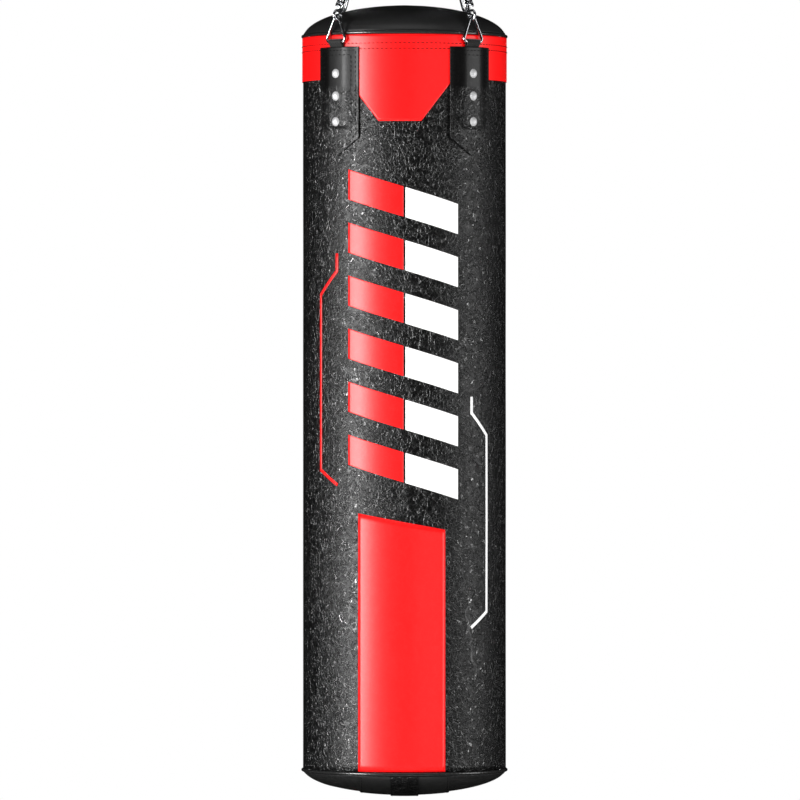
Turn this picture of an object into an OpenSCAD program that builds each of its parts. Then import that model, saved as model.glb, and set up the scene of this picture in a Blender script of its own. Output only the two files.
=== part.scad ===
/* [Bag] */
// Outside diameter of the leather shell
shell_d = 314; // [270:2:380]
// Length of the straight shell between its two rim seams
shell_len = 1126; // [760:2:1500]
// Rise of the domed lid above the top rim seam
lid_h = 51; // [40:1:70]
// Depth of the domed cap below the bottom rim seam
cap_h = 40; // [36:1:70]
// Thickness of the shell, lid and cap leather
leather = 2; // [1.6:0.1:3]
// Diameter of the welt cord sewn into each rim
piping_d = 5; // [4:0.5:6]
// Thickness of the foam liner behind the shell
foam_t = 10; // [6:1:20]
// Thickness of the foam pads at the two ends of the filling
pad_t = 16; // [8:1:20]

/* [Top band] */
// Height of the band round the top of the shell
band_h = 68; // [50:1:90]
// Reach of the band's front tongue below the rim
tongue_h = 133; // [110:1:170]
// Width of the tongue where it leaves the band
tongue_top_w = 163; // [120:1:180]
// Width of the tongue's lower edge
tongue_low_w = 65; // [40:1:90]
// Sideways shift of the tongue from the bag's middle
tongue_shift = -7; // [-12:1:12]
// Thickness of the band
band_t = 1.2; // [0.8:0.1:2]

/* [Straps] */
// Angle between each strap and the bag's front-to-back line
strap_angle = 40; // [34:1:50]
// Width of a strap patch
patch_w = 77; // [60:1:90]
// Distance from the rim down to a patch's upper edge
patch_top = 19; // [17:1:24]
// Distance from the rim down to the end of a patch's straight sides
patch_side = 158; // [150:1:180]
// Distance from the rim down to a patch's pointed tip
patch_tip = 185; // [182:1:215]
// Width of the webbing under a patch
webbing_w = 25; // [20:1:30]
// Thickness of one layer of webbing
webbing_t = 1.5; // [1.2:0.1:2]
// Diameter of a rivet head
rivet_head_d = 14; // [10:0.5:16]
// Diameter of a rivet shank
rivet_shank_d = 5; // [4:0.5:6]

/* [Hardware] */
// Wire diameter of a triangle ring
triangle_wire = 4.8; // [4:0.2:5]
// How much wider than its webbing a triangle ring is, between its unrounded corners
triangle_room = 15.6; // [14:0.2:20]
// Height of a triangle ring from base to unrounded apex, on the wire's centreline
triangle_rise = 45.5; // [42:0.5:52]
// Wire diameter of the S-hooks and chain links
chain_wire = 4; // [3.5:0.1:4.5]
// Inside length of a chain link
link_len = 26; // [22:0.5:32]
// Number of links in each of the four chains
link_count = 14; // [11:1:18]
// Wire diameter of the gather ring
ring_wire = 8; // [7:0.5:9]
// Radius of the gather ring on the wire's centreline
ring_r = 24; // [23:0.5:28]

/* [Snap hook and swivel] */
// Wire diameter of the snap hook
hook_wire = 9; // [8:0.5:10]
// Length of the snap hook on the wire's centreline
hook_len = 78; // [74:1:90]
// Radius of the swivel eye's bore
eye_bore_r = 9; // [8:0.5:10]
// Thickness of the swivel eye along its bore
eye_t = 9; // [8:0.5:12]
// Radius of the swivel shank
shank_r = 5; // [4.5:0.1:5.5]

/* [Hidden] */

$fn = 96;

// Clearances
rest_gap = 0.3;      // between pieces that hang in or lie on each other
skin_gap = 0.15;     // between layers of leather and fabric
pin_gap = 0.05;      // radial, round a hinge pin or shank
hole_gap = 0.1;      // radial, round a rivet
collar_gap = 0.2;    // between the swivel's collar and its yoke
washer_gap = 0.1;    // above and below the swivel's washer
seam_gap = 0.2;      // between a panel's edge and the rim that it is sewn to

// The four hanging points, as signs of X and Y: front left, front right, rear right, rear left
LEGS = ["front_left", "front_right", "rear_right", "rear_left"];
leg_signs = [[-1, -1], [1, -1], [1, 1], [-1, 1]];
// Where each chain hangs on the gather ring, as an angle from its lowest point
leg_ring_angle = [14, 30, 14, 30];

// Swivel
eye_wall = 6.5;
eye_r = eye_bore_r + eye_wall;
eye_chamfer = 1;
collar_r = 8;
collar_low = -eye_r - 6.5;
yoke_top = collar_low - collar_gap;
yoke_plate_t = 12;
yoke_low = yoke_top - yoke_plate_t;
yoke_wire = 8;
yoke_half = 17;
boss_r = 13;
yoke_end_r = 8;
washer_t = 2;
washer_r = 9;
washer_top = yoke_low - washer_gap;
nut_flats = 16;
nut_t = 8;
nut_top = washer_top - washer_t - washer_gap;
shank_low = nut_top - nut_t - 3;
yoke_arc_z = shank_low - 5;
bow_z = yoke_arc_z - yoke_half;

// Snap hook, in its own plane, measured down from its top centreline
hook_half = 14;
hook_top = bow_z + yoke_wire / 2 + hook_wire / 2 + rest_gap;
hook_low = hook_top - hook_len;
hook_tip = 20;
pivot_at = hook_len - hook_half - 6.2;
ear_at = pivot_at - 3.2;
slot_w = 4.4;
slot_at = pivot_at + 4.2;
gate_pin_r = 1.6;
gate_r = 3.6;
gate_top = hook_tip + 0.4;
gate_foot = pivot_at - 6;
tongue_t = slot_w - 0.4;
tongue_r = 3.4;
gate_bore_r = 2.3;
gate_bore_end = gate_foot - 6;
nose_t = 5;
spring_wire = 0.3;   // radius
spring_r = gate_bore_r - spring_wire - 0.15;
spring_turns = 9;

// Gather ring
ring_top = hook_low + hook_wire / 2 + ring_wire / 2 + rest_gap;
ring_z = ring_top - ring_r;

// Chain link
link_half = 6.5;
end_link_half = 8.5;
link_span = link_len + chain_wire;

// S-hook
s_hook_r = 7.5;

// Triangle ring
triangle_bend = 5;
triangle_w = webbing_w + triangle_room;   // on the wire's centreline
triangle_half_apex = atan(triangle_w / 2 / triangle_rise);
triangle_apex_drop = triangle_bend / sin(triangle_half_apex) - triangle_bend;
triangle_h = triangle_rise - triangle_apex_drop;
triangle_lean = 3;
straight_lap = 0.4;
straight_step = 0.1;
bar_drop = 11;

// Radii of the layers of the bag
shell_r = shell_d / 2;
shell_in = shell_r - leather;
washer_disc_t = 1;
washer_disc_r = 6;
foam_r = shell_in - 2 * skin_gap - washer_disc_t;
foam_in = foam_r - foam_t;
sack_t = 1;
sack_r = foam_in - skin_gap;
filling_r = sack_r - sack_t - skin_gap;
band_in = shell_r + skin_gap;
band_r = band_in + band_t;
webbing_in = band_r + 0.4;
patch_in = band_r + skin_gap;
patch_t = 1.8;
pocket_r = webbing_in + 2 * webbing_t + 0.3;
patch_r = pocket_r + patch_t;
bar_r = webbing_in + webbing_t + skin_gap + triangle_wire / 2;
apex_r = bar_r - triangle_h * sin(triangle_lean);

// Heights: the chains' length sets how far the bag hangs below the gather ring
leg_ends = link_len + chain_wire + 4 * s_hook_r
    - (ring_wire / 2 + chain_wire / 2 + rest_gap)
    - (chain_wire + rest_gap)
    - (chain_wire / 2 + triangle_wire / 2 + rest_gap);
leg_len = (link_count - 1) * (link_len - rest_gap) + leg_ends;
hang_x = apex_r * sin(strap_angle) - ring_r * sin(leg_ring_angle[0]);
hang_y = apex_r * cos(strap_angle);
apex_z = ring_z - ring_r * cos(leg_ring_angle[0])
    - sqrt(leg_len * leg_len - hang_x * hang_x - hang_y * hang_y);
bar_z = apex_z - triangle_h * cos(triangle_lean);
rim_z = bar_z + bar_drop;
base_z = rim_z - shell_len;

rivet_drops = [59.4, 93.8, 133];
rivet_head_h = 3.6;
patch_bulge_w = webbing_w + 5;
patch_bulge_low = rivet_drops[2] + 14;
webbing_low = rivet_drops[2] + 9;

// The strip that covers the shell's back seam
seam_strip_w = 30;
seam_strip_t = 1.5;

// The panel and the strap sewn under the cap, from front to back
bottom_panel_w = 136;
bottom_panel_t = 1;
bottom_strap_w = 42;
bottom_strap_t = 1.5;
bottom_strap_low = 2 * skin_gap + bottom_panel_t;

// Zip round the back of the lid
zip_rise = 27;
zip_start = 32;
zip_end = 148;
zip_at = asin(zip_rise / lid_h);
zip_tape_half = 9;   // in degrees of the dome's own profile
zip_tape_t = 0.9;
teeth_w = 6;
teeth_t = 1.6;
tape_top = skin_gap + zip_tape_t;
teeth_top = tape_top + skin_gap + teeth_t;
slider_len = 14;
slider_w = 12;
slider_gap = 0.4;
slider_plate_t = 1.5;
slider_top = teeth_top + slider_gap + slider_plate_t;
zip_r = shell_r * cos(zip_at);
slider_sweep = slider_len / zip_r * 180 / PI;
slider_at = zip_start + 7;
bar_wire_r = 0.9;
slider_bar = slider_top + 2.8;
post_half = 0.9;
pull_barrel_r = 2.1;
pull_len = 24;
pull_w = 9;
pull_t = 1.6;
pull_barrel_w = 5;
pull_neck = 8;
pull_tilt = 12;
post_at = pull_barrel_w / 2 + 0.2 + post_half;

// Colours
chrome = [0.80, 0.81, 0.83];
steel = [0.55, 0.56, 0.58];
black_leather = [0.09, 0.09, 0.09];
red_leather = [0.93, 0.05, 0.05];
black_webbing = [0.07, 0.07, 0.07];

function unit(v) = v / norm(v);
function half_turn(a) = a - 180 * round(a / 180);

// Azimuth of a hanging point, from +X
function leg_azimuth(leg) = atan2(
    leg_signs[leg].y * cos(strap_angle),
    leg_signs[leg].x * sin(strap_angle));
function ring_point(leg) = [
    leg_signs[leg].x * ring_r * sin(leg_ring_angle[leg]),
    0,
    ring_z - ring_r * cos(leg_ring_angle[leg])];
function apex_point(leg) = [
    apex_r * cos(leg_azimuth(leg)),
    apex_r * sin(leg_azimuth(leg)),
    apex_z];
function leg_down(leg) = unit(apex_point(leg) - ring_point(leg));
function leg_pitch(leg) =
    (norm(apex_point(leg) - ring_point(leg)) - leg_ends) / (link_count - 1);

// Two directions square to a leg: across its S-hook's plane, and in that plane
function across_hook(leg) = unit(cross(
    [cos(leg_azimuth(leg)), sin(leg_azimuth(leg)), 0],
    leg_down(leg)));
function in_hook(leg) = cross(leg_down(leg), across_hook(leg));
// The gather ring's tangent where a chain hangs
function ring_tangent(leg) = [
    cos(leg_ring_angle[leg]),
    0,
    leg_signs[leg].x * sin(leg_ring_angle[leg])];
function top_turn(leg) = atan2(
    ring_tangent(leg) * in_hook(leg),
    ring_tangent(leg) * across_hook(leg));
// Each link turns a quarter turn from the last, plus a small share of the chain's twist
function link_step(leg) =
    90 + half_turn(90 - top_turn(leg) - 90 * (link_count - 1)) / (link_count - 1);
function link_normal(leg, i) =
    cos(top_turn(leg) + i * link_step(leg)) * across_hook(leg)
    + sin(top_turn(leg) + i * link_step(leg)) * in_hook(leg);
function link_start(leg, i) = ring_point(leg) + leg_down(leg)
    * (i * leg_pitch(leg) - ring_wire / 2 - chain_wire / 2 - rest_gap);
// A link that leans along the gather ring needs a little more room over its wire
function ring_lift(leg) =
    ring_wire / 2 * (1 / sqrt(1 - pow(ring_tangent(leg) * leg_down(leg), 2)) - 1);
function s_hook_start(leg) =
    apex_point(leg) + leg_down(leg)
    * (chain_wire / 2 + triangle_wire / 2 + rest_gap - 4 * s_hook_r);

// Points of a half ellipse, from one angle of its parameter to another
function dome_arc(r, h, from, to, steps = 24) =
    [for (i = [0 : steps]) let (a = from + (to - from) * i / steps) [r * cos(a), h * sin(a)]];

// Puts a shape that is drawn along +X in the XY plane at a place, with its plane square to normal
module place(origin, along, normal) {
    side = cross(normal, along);
    multmatrix([
        [along.x, side.x, normal.x, origin.x],
        [along.y, side.y, normal.y, origin.y],
        [along.z, side.z, normal.z, origin.z],
        [0, 0, 0, 1]
    ]) children();
}

// The frame of one strap: +X out from the bag's axis, +Z up, origin on the axis at the rim
module at_strap(leg) {
    translate([0, 0, rim_z])
        rotate([0, 0, leg_azimuth(leg)])
            children();
}

module wire_arc(centre, bend, wire, from, sweep) {
    translate([centre.x, centre.y, 0])
        rotate([0, 0, from])
            rotate_extrude(angle = sweep, $fn = 72)
                translate([bend, 0])
                    circle(d = wire, $fn = 32);
}

module wire_rod(from, to, wire) {
    run = to - from;
    translate([from.x, from.y, 0])
        rotate([0, 0, atan2(run.y, run.x)])
            rotate([0, 90, 0])
                cylinder(d = wire, h = norm(run), $fn = 32);
}

// A link of round wire: two half turns and two straights, with its top centreline at the origin
module wire_link(half, span, wire) {
    wire_arc([half, 0], half, wire, 90, 180);
    wire_arc([span - half, 0], half, wire, -90, 180);
    for (side = [-1, 1])
        wire_rod([half, side * half], [span - half, side * half], wire);
}

// Round wire bent round the corners of an outline and closed on itself. The straights are a
// hair thinner than the bends and run a little way into them.
module bent_wire(corners, bend, wire) {
    count = len(corners);
    for (i = [0 : count - 1]) {
        here = corners[i];
        next = corners[(i + 1) % count];
        back = unit(corners[(i + count - 1) % count] - here);
        ahead = unit(next - here);
        after = unit(corners[(i + 2) % count] - next);
        half = acos(back * ahead) / 2;
        next_half = acos(-ahead * after) / 2;
        middle = unit(back + ahead);
        wire_rod(
            here + (bend / tan(half) - straight_lap) * ahead,
            next - (bend / tan(next_half) - straight_lap) * ahead,
            wire - straight_step);
        wire_arc(
            here + bend / sin(half) * middle,
            bend,
            wire,
            atan2(-middle.y, -middle.x) - 90 + half,
            180 - 2 * half);
    }
}

// A thin layer over a dome, between two distances from its surface
module dome_layer(r, h, from, to, low, high, sweep = 360) {
    rotate_extrude(angle = sweep)
        polygon(concat(
            dome_arc(r + high, h + high, from, to),
            dome_arc(r + low, h + low, to, from)));
}

// Forged eye with a plain bore, on a collar and a threaded shank
module swivel_eye() {
    color(steel)
        difference() {
            union() {
                rotate([90, 0, 0])
                    rotate_extrude()
                        polygon([
                            [0, -eye_t / 2],
                            [eye_r - 2, -eye_t / 2],
                            [eye_r, -eye_t / 2 + 2],
                            [eye_r, eye_t / 2 - 2],
                            [eye_r - 2, eye_t / 2],
                            [0, eye_t / 2]
                        ]);
                translate([0, 0, collar_low])
                    cylinder(r = collar_r, h = -eye_bore_r - 2 - collar_low);
                translate([0, 0, shank_low])
                    cylinder(r = shank_r, h = collar_low - shank_low);
            }
            rotate([90, 0, 0])
                cylinder(r = eye_bore_r, h = 3 * eye_t, center = true);
            for (face = [0, 180])
                rotate([90 + face, 0, 0])
                    translate([0, 0, eye_t / 2 - eye_chamfer])
                        cylinder(
                            r1 = eye_bore_r,
                            r2 = eye_bore_r + 2 * eye_chamfer,
                            h = 2 * eye_chamfer);
        }
}

module swivel_washer() {
    color([0.78, 0.62, 0.32])
        translate([0, 0, washer_top - washer_t])
            difference() {
                cylinder(r = washer_r, h = washer_t);
                translate([0, 0, -1])
                    cylinder(r = shank_r + pin_gap, h = washer_t + 2);
            }
}

module swivel_nut() {
    color(steel)
        translate([0, 0, nut_top - nut_t])
            difference() {
                cylinder(d = nut_flats / cos(30), h = nut_t, $fn = 6);
                translate([0, 0, -1])
                    cylinder(r = shank_r + pin_gap, h = nut_t + 2);
            }
}

// Stirrup that turns on the shank: a drilled plate, two legs and a round bow
module swivel_yoke() {
    color(steel) {
        translate([0, 0, yoke_low])
            difference() {
                union() {
                    cylinder(r = boss_r, h = yoke_plate_t);
                    translate([-yoke_half + 2, -yoke_end_r, 0])
                        cube([2 * yoke_half - 4, 2 * yoke_end_r, yoke_plate_t]);
                    for (side = [-1, 1])
                        translate([side * (yoke_half - 2), 0, 0])
                            cylinder(r = yoke_end_r, h = yoke_plate_t);
                }
                translate([0, 0, -1])
                    cylinder(r = shank_r + pin_gap, h = yoke_plate_t + 2);
            }
        place([0, 0, yoke_low], [0, 0, -1], [0, 1, 0]) {
            for (side = [-1, 1])
                wire_rod(
                    [0, side * yoke_half],
                    [yoke_low - yoke_arc_z, side * yoke_half],
                    yoke_wire);
            wire_arc([yoke_low - yoke_arc_z, 0], yoke_half, yoke_wire, -90, 180);
        }
    }
}

module at_hook() {
    place([0, 0, hook_top], [0, 0, -1], [1, 0, 0])
        children();
}

// Open oval of round bar, with a slotted and drilled foot for the gate
module snap_hook() {
    color(chrome)
        at_hook()
            difference() {
                union() {
                    wire_arc([hook_half, 0], hook_half, hook_wire, 90, 180);
                    wire_arc([hook_len - hook_half, 0], hook_half, hook_wire, -90, 180);
                    wire_rod([hook_half, hook_half], [hook_len - hook_half, hook_half], hook_wire);
                    wire_rod([hook_half, -hook_half], [hook_tip, -hook_half], hook_wire);
                    wire_rod([ear_at, -hook_half], [hook_len - hook_half, -hook_half], hook_wire);
                }
                translate([ear_at - 1, -hook_half - hook_wire, -slot_w / 2])
                    cube([slot_at - ear_at + 1, hook_wire + 4.5, slot_w]);
                translate([pivot_at, -hook_half, 0])
                    cylinder(r = gate_pin_r + pin_gap, h = 3 * hook_wire, center = true);
            }
}

module gate_pin() {
    color(steel)
        at_hook()
            translate([pivot_at, -hook_half, 0])
                cylinder(r = gate_pin_r, h = hook_wire - 1, center = true);
}

// Round bar with a blind bore for its spring and a flat tongue on the hinge pin
module snap_gate() {
    color(chrome)
        at_hook()
            translate([0, -hook_half, 0])
                difference() {
                    union() {
                        wire_rod([gate_top, 0], [gate_foot, 0], 2 * gate_r);
                        translate([gate_foot - 0.5, -tongue_r, -tongue_t / 2])
                            cube([pivot_at - gate_foot + 0.5, 2 * tongue_r, tongue_t]);
                        translate([pivot_at, 0, 0])
                            cylinder(r = tongue_r, h = tongue_t, center = true);
                    }
                    translate([pivot_at, 0, 0])
                        cylinder(r = gate_pin_r + pin_gap, h = 2 * tongue_t, center = true);
                    wire_rod([gate_top - 1, 0], [gate_bore_end, 0], 2 * gate_bore_r);
                }
}

// Coil spring in the gate's bore, swept as a tube of six sides
module gate_spring() {
    sides = 6;
    rings = spring_turns * 12;
    from = gate_top + nose_t + spring_wire + 0.1;
    run = gate_bore_end - spring_wire - 0.1 - from;
    points = [
        for (i = [0 : rings], j = [0 : sides - 1])
            let (
                turn = 360 * spring_turns * i / rings,
                out = spring_r + spring_wire * cos(360 * j / sides)
            )
            [
                from + run * i / rings + spring_wire * sin(360 * j / sides),
                out * cos(turn),
                out * sin(turn)
            ]
    ];
    walls = [
        for (i = [0 : rings - 1], j = [0 : sides - 1])
            let (k = (j + 1) % sides)
            [i * sides + j, (i + 1) * sides + j, (i + 1) * sides + k, i * sides + k]
    ];
    ends = [
        [for (j = [0 : sides - 1]) j],
        [for (j = [sides - 1 : -1 : 0]) rings * sides + j]
    ];
    color(steel)
        at_hook()
            translate([0, -hook_half, 0])
                polyhedron(points, concat(walls, ends));
}

module gate_nose() {
    color(chrome)
        at_hook()
            translate([0, -hook_half, 0])
                wire_rod([gate_top, 0], [gate_top + nose_t, 0], 2 * (gate_bore_r - pin_gap));
}

module gather_ring() {
    color(chrome)
        translate([0, 0, ring_z])
            rotate([90, 0, 0])
                wire_arc([0, 0], ring_r, ring_wire, 0, 360);
}

module chain(leg) {
    color(chrome)
        for (i = [0 : link_count - 1])
            let (lift = i == 0 ? ring_lift(leg) : 0)
                place(
                    link_start(leg, i) - lift * leg_down(leg),
                    leg_down(leg),
                    link_normal(leg, i))
                    wire_link(i == 0 ? end_link_half : link_half, link_span + lift, chain_wire);
}

// Two open turns of wire that meet at the middle
module s_hook(leg) {
    color(chrome)
        place(s_hook_start(leg), leg_down(leg), across_hook(leg)) {
            wire_arc([s_hook_r, 0], s_hook_r, chain_wire, 0, 300);
            wire_arc([3 * s_hook_r, 0], s_hook_r, chain_wire, 180, 300);
        }
}

module triangle(leg) {
    color(chrome)
        at_strap(leg)
            place(
                [apex_r, 0, apex_z - rim_z],
                [sin(triangle_lean), 0, -cos(triangle_lean)],
                [cos(triangle_lean), 0, sin(triangle_lean)])
                bent_wire(
                    [
                        [-triangle_apex_drop, 0],
                        [triangle_h, triangle_w / 2],
                        [triangle_h, -triangle_w / 2]
                    ],
                    triangle_bend,
                    triangle_wire);
}

// Points of a circle round the triangle ring's bar, from below its outer side over to its inner
function over_bar(r) = [for (a = [-45 : 15 : 180]) [bar_r + r * cos(a), -bar_drop + r * sin(a)]];

// A doubled strip that wraps the triangle ring's bar and runs down under its patch
module webbing(leg) {
    loop_in = triangle_wire / 2 + skin_gap;
    two_layers = webbing_in + 2 * webbing_t;
    color(black_webbing)
        at_strap(leg)
            difference() {
                rotate([90, 0, 0])
                    linear_extrude(height = webbing_w, center = true)
                        difference() {
                            polygon(concat(over_bar(loop_in + webbing_t), [
                                [webbing_in, -webbing_low],
                                [two_layers, -webbing_low],
                                [two_layers, -patch_top + 0.5]
                            ]));
                            polygon(concat(over_bar(loop_in), [
                                [webbing_in + webbing_t, -patch_top + 2.5],
                                [webbing_in + webbing_t + 0.05, -patch_top + 2.5]
                            ]));
                        }
                rivet_holes(webbing_in - 1, patch_r);
            }
}

// Holes for one strap's rivets, in the strap's frame
module rivet_holes(from, to) {
    for (drop = rivet_drops)
        translate([from, 0, -drop])
            rotate([0, 90, 0])
                cylinder(d = rivet_shank_d + 2 * hole_gap, h = to - from, $fn = 32);
}

module all_rivet_holes(from, to) {
    for (leg = [0 : 3])
        at_strap(leg)
            rivet_holes(from, to);
}

// A leather patch with a pointed foot, raised over the webbing that it holds
module patch(leg) {
    color(black_leather)
        at_strap(leg)
            difference() {
                union() {
                    intersection() {
                        translate([0, 0, -patch_tip - 10])
                            difference() {
                                cylinder(r = patch_in + patch_t, h = patch_tip);
                                translate([0, 0, -1])
                                    cylinder(r = patch_in, h = patch_tip + 2);
                            }
                        rotate([90, 0, 90])
                            linear_extrude(height = 2 * shell_d)
                                polygon([
                                    [-patch_w / 2, -patch_top],
                                    [-patch_w / 2, -patch_side],
                                    [0, -patch_tip],
                                    [patch_w / 2, -patch_side],
                                    [patch_w / 2, -patch_top]
                                ]);
                    }
                    translate([patch_in + 0.5, -patch_bulge_w / 2, -patch_bulge_low])
                        cube([
                            patch_r - patch_in - 0.5,
                            patch_bulge_w,
                            patch_bulge_low - patch_top
                        ]);
                }
                translate([patch_in - 5, -webbing_w / 2 - 0.3, -webbing_low - 0.5])
                    cube([pocket_r - patch_in + 5, webbing_w + 0.6, webbing_low]);
                rivet_holes(patch_in - 1, patch_r + 2);
            }
}

// Domed heads on shanks that go through to the inside of the shell
module rivets(leg) {
    head_r = rivet_head_d / 2;
    dome_r = (head_r * head_r + rivet_head_h * rivet_head_h) / (2 * rivet_head_h);
    color(chrome)
        at_strap(leg)
            for (drop = rivet_drops)
                translate([patch_r + 0.1, 0, -drop])
                    rotate([0, 90, 0]) {
                        intersection() {
                            translate([0, 0, rivet_head_h - dome_r])
                                sphere(r = dome_r);
                            cylinder(r = head_r, h = rivet_head_h + 1);
                        }
                        translate([0, 0, foam_r + skin_gap - patch_r - 0.1])
                            cylinder(
                                d = rivet_shank_d,
                                h = patch_r + 0.1 - foam_r - skin_gap + 0.5,
                                $fn = 32);
                    }
}

module rivet_washers() {
    color(steel)
        for (leg = [0 : 3])
            at_strap(leg)
                for (drop = rivet_drops)
                    translate([foam_r + skin_gap, 0, -drop])
                        rotate([0, 90, 0])
                            difference() {
                                cylinder(r = washer_disc_r, h = washer_disc_t - 0.1);
                                translate([0, 0, -1])
                                    cylinder(
                                        r = rivet_shank_d / 2 + pin_gap,
                                        h = washer_disc_t + 2);
                            }
}

module tube(r_out, r_in, low, high) {
    translate([0, 0, low])
        difference() {
            cylinder(r = r_out, h = high - low);
            translate([0, 0, -1])
                cylinder(r = r_in, h = high - low + 2);
        }
}

// A band round the shell with a tongue at the front
module top_band() {
    color(red_leather)
        difference() {
            intersection() {
                tube(band_r, band_in, rim_z - tongue_h, rim_z - seam_gap);
                union() {
                    translate([0, 0, rim_z - band_h])
                        cylinder(r = shell_d, h = band_h);
                    translate([tongue_shift, 0, rim_z])
                        rotate([90, 0, 0])
                            linear_extrude(height = shell_d)
                                polygon([
                                    [-tongue_top_w / 2, -band_h + 1],
                                    [-tongue_top_w / 2, -band_h],
                                    [-tongue_low_w / 2, -tongue_h - 1],
                                    [tongue_low_w / 2, -tongue_h - 1],
                                    [tongue_top_w / 2, -band_h],
                                    [tongue_top_w / 2, -band_h + 1]
                                ]);
                }
            }
            all_rivet_holes(band_in - 1, band_r + 1);
        }
}

module outer_shell() {
    color(black_leather)
        difference() {
            tube(shell_r, shell_in, base_z + seam_gap, rim_z - seam_gap);
            all_rivet_holes(shell_in - 2, shell_r + 2);
        }
}

// A strip sewn over the shell's one upright seam, from the band to the bottom rim
module back_seam_strip() {
    color(black_leather)
        intersection() {
            tube(
                shell_r + skin_gap + seam_strip_t,
                shell_r + skin_gap,
                base_z + 0.5,
                rim_z - band_h - 0.3);
            translate([-seam_strip_w / 2, 0, base_z])
                cube([seam_strip_w, shell_d, shell_len]);
        }
}

// A domed end cover that starts just past the welt
module end_dome(h) {
    start = asin((piping_d + 0.4) / h);
    start_in = asin((piping_d + 0.4) / (h - leather));
    rotate_extrude()
        polygon(concat(
            dome_arc(shell_r, h, start, 90),
            dome_arc(shell_in, h - leather, 90, start_in)));
}

module top_lid() {
    color(black_leather)
        translate([0, 0, rim_z])
            end_dome(lid_h);
}

module bottom_cap() {
    color(black_leather)
        translate([0, 0, base_z])
            mirror([0, 0, 1])
                end_dome(cap_h);
}

module welt(z) {
    translate([0, 0, z])
        rotate_extrude()
            translate([shell_r - 0.2, 0])
                circle(d = piping_d, $fn = 32);
}

module top_piping() {
    color(black_leather)
        welt(rim_z + piping_d / 2 + 0.1);
}

module bottom_piping() {
    color(black_leather)
        welt(base_z - piping_d / 2 - 0.1);
}

// A strip of the cap's surface from front to back, between two distances from it
module bottom_strip(width, low, high) {
    start = asin((piping_d + 1) / cap_h);
    translate([0, 0, base_z])
        mirror([0, 0, 1])
            intersection() {
                dome_layer(shell_r, cap_h, start, 90, low, high);
                translate([-width / 2, -shell_d, 0])
                    cube([width, 2 * shell_d, 2 * cap_h]);
            }
}

module bottom_panel() {
    color(black_leather)
        bottom_strip(bottom_panel_w, skin_gap, skin_gap + bottom_panel_t);
}

module bottom_strap() {
    color(black_leather)
        bottom_strip(bottom_strap_w, bottom_strap_low, bottom_strap_low + bottom_strap_t);
}

module foam_liner() {
    color([0.35, 0.35, 0.37])
        tube(foam_r, foam_in, base_z + 1, rim_z - 1);
}

module inner_sack() {
    color([0.75, 0.72, 0.65])
        difference() {
            translate([0, 0, base_z + pad_t + 1])
                cylinder(r = sack_r, h = shell_len - pad_t - 2);
            translate([0, 0, base_z + pad_t + 1 + sack_t])
                cylinder(r = sack_r - sack_t, h = shell_len);
        }
}

module filling() {
    color([0.55, 0.50, 0.45])
        translate([0, 0, base_z + pad_t + 1 + sack_t + skin_gap])
            cylinder(
                r = filling_r,
                h = shell_len - 2 * pad_t - 2 - sack_t - 2 * skin_gap);
}

module top_pad() {
    color([0.35, 0.35, 0.37])
        translate([0, 0, rim_z - 1 - pad_t])
            cylinder(r = filling_r, h = pad_t + 1);
}

module bottom_pad() {
    color([0.35, 0.35, 0.37])
        translate([0, 0, base_z])
            cylinder(r = foam_in - skin_gap, h = pad_t + 1 - skin_gap);
}

// Round the bag's axis at the lid's height, from one angle through a sweep
module round_lid(from, sweep) {
    translate([0, 0, rim_z])
        rotate([0, 0, from])
            rotate_extrude(angle = sweep)
                children();
}

// Takes a flat outline to the zip's line on the dome: +X out of the leather, +Y up the slope
module on_dome() {
    slope = atan2(sin(zip_at) / lid_h, cos(zip_at) / shell_r);
    translate([shell_r * cos(zip_at), lid_h * sin(zip_at)])
        rotate(slope)
            children();
}

module zip_tape() {
    color(black_webbing)
        round_lid(zip_start - 2, zip_end - zip_start + 4)
            polygon(concat(
                dome_arc(
                    shell_r + tape_top,
                    lid_h + tape_top,
                    zip_at - zip_tape_half,
                    zip_at + zip_tape_half),
                dome_arc(
                    shell_r + skin_gap,
                    lid_h + skin_gap,
                    zip_at + zip_tape_half,
                    zip_at - zip_tape_half)));
}

module zip_teeth() {
    color(steel)
        round_lid(zip_start, zip_end - zip_start)
            on_dome()
                translate([tape_top + skin_gap, -teeth_w / 2])
                    square([teeth_t, teeth_w]);
}

module zip_stops() {
    stop_sweep = 1;
    color(steel)
        for (from = [zip_start - 1.2, zip_end + 0.2])
            round_lid(from, stop_sweep)
                on_dome()
                    translate([tape_top + skin_gap, -teeth_w / 2 - 1])
                        square([teeth_t + 1, teeth_w + 2]);
}

// The frame of the slider's middle: X out of the leather, Y along the zip, Z up the slope
module at_slider() {
    slope = atan2(sin(zip_at) / lid_h, cos(zip_at) / shell_r);
    translate([0, 0, rim_z])
        rotate([0, 0, slider_at])
            translate([shell_r * cos(zip_at), 0, lid_h * sin(zip_at)])
                rotate([0, -slope, 0])
                    children();
}

// A channel that runs over the teeth, with a small bar on two posts for the pull
module zip_slider() {
    channel_half = teeth_w / 2 + slider_gap;
    wing_low = tape_top + slider_gap + 0.2;
    color(steel) {
        round_lid(slider_at - slider_sweep / 2, slider_sweep)
            on_dome()
                difference() {
                    translate([wing_low, -slider_w / 2])
                        square([slider_top - wing_low, slider_w]);
                    translate([wing_low - 1, -channel_half])
                        square([slider_top - slider_plate_t - wing_low + 1, 2 * channel_half]);
                }
        at_slider() {
            for (side = [-1, 1])
                translate([slider_top - 0.6, side * post_at - post_half, -post_half])
                    cube([slider_bar - slider_top + 1.5, 2 * post_half, 2 * post_half]);
            translate([slider_bar, 0, 0])
                rotate([90, 0, 0])
                    cylinder(r = bar_wire_r, h = 2 * post_at - 0.8, center = true);
        }
    }
}

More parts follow.
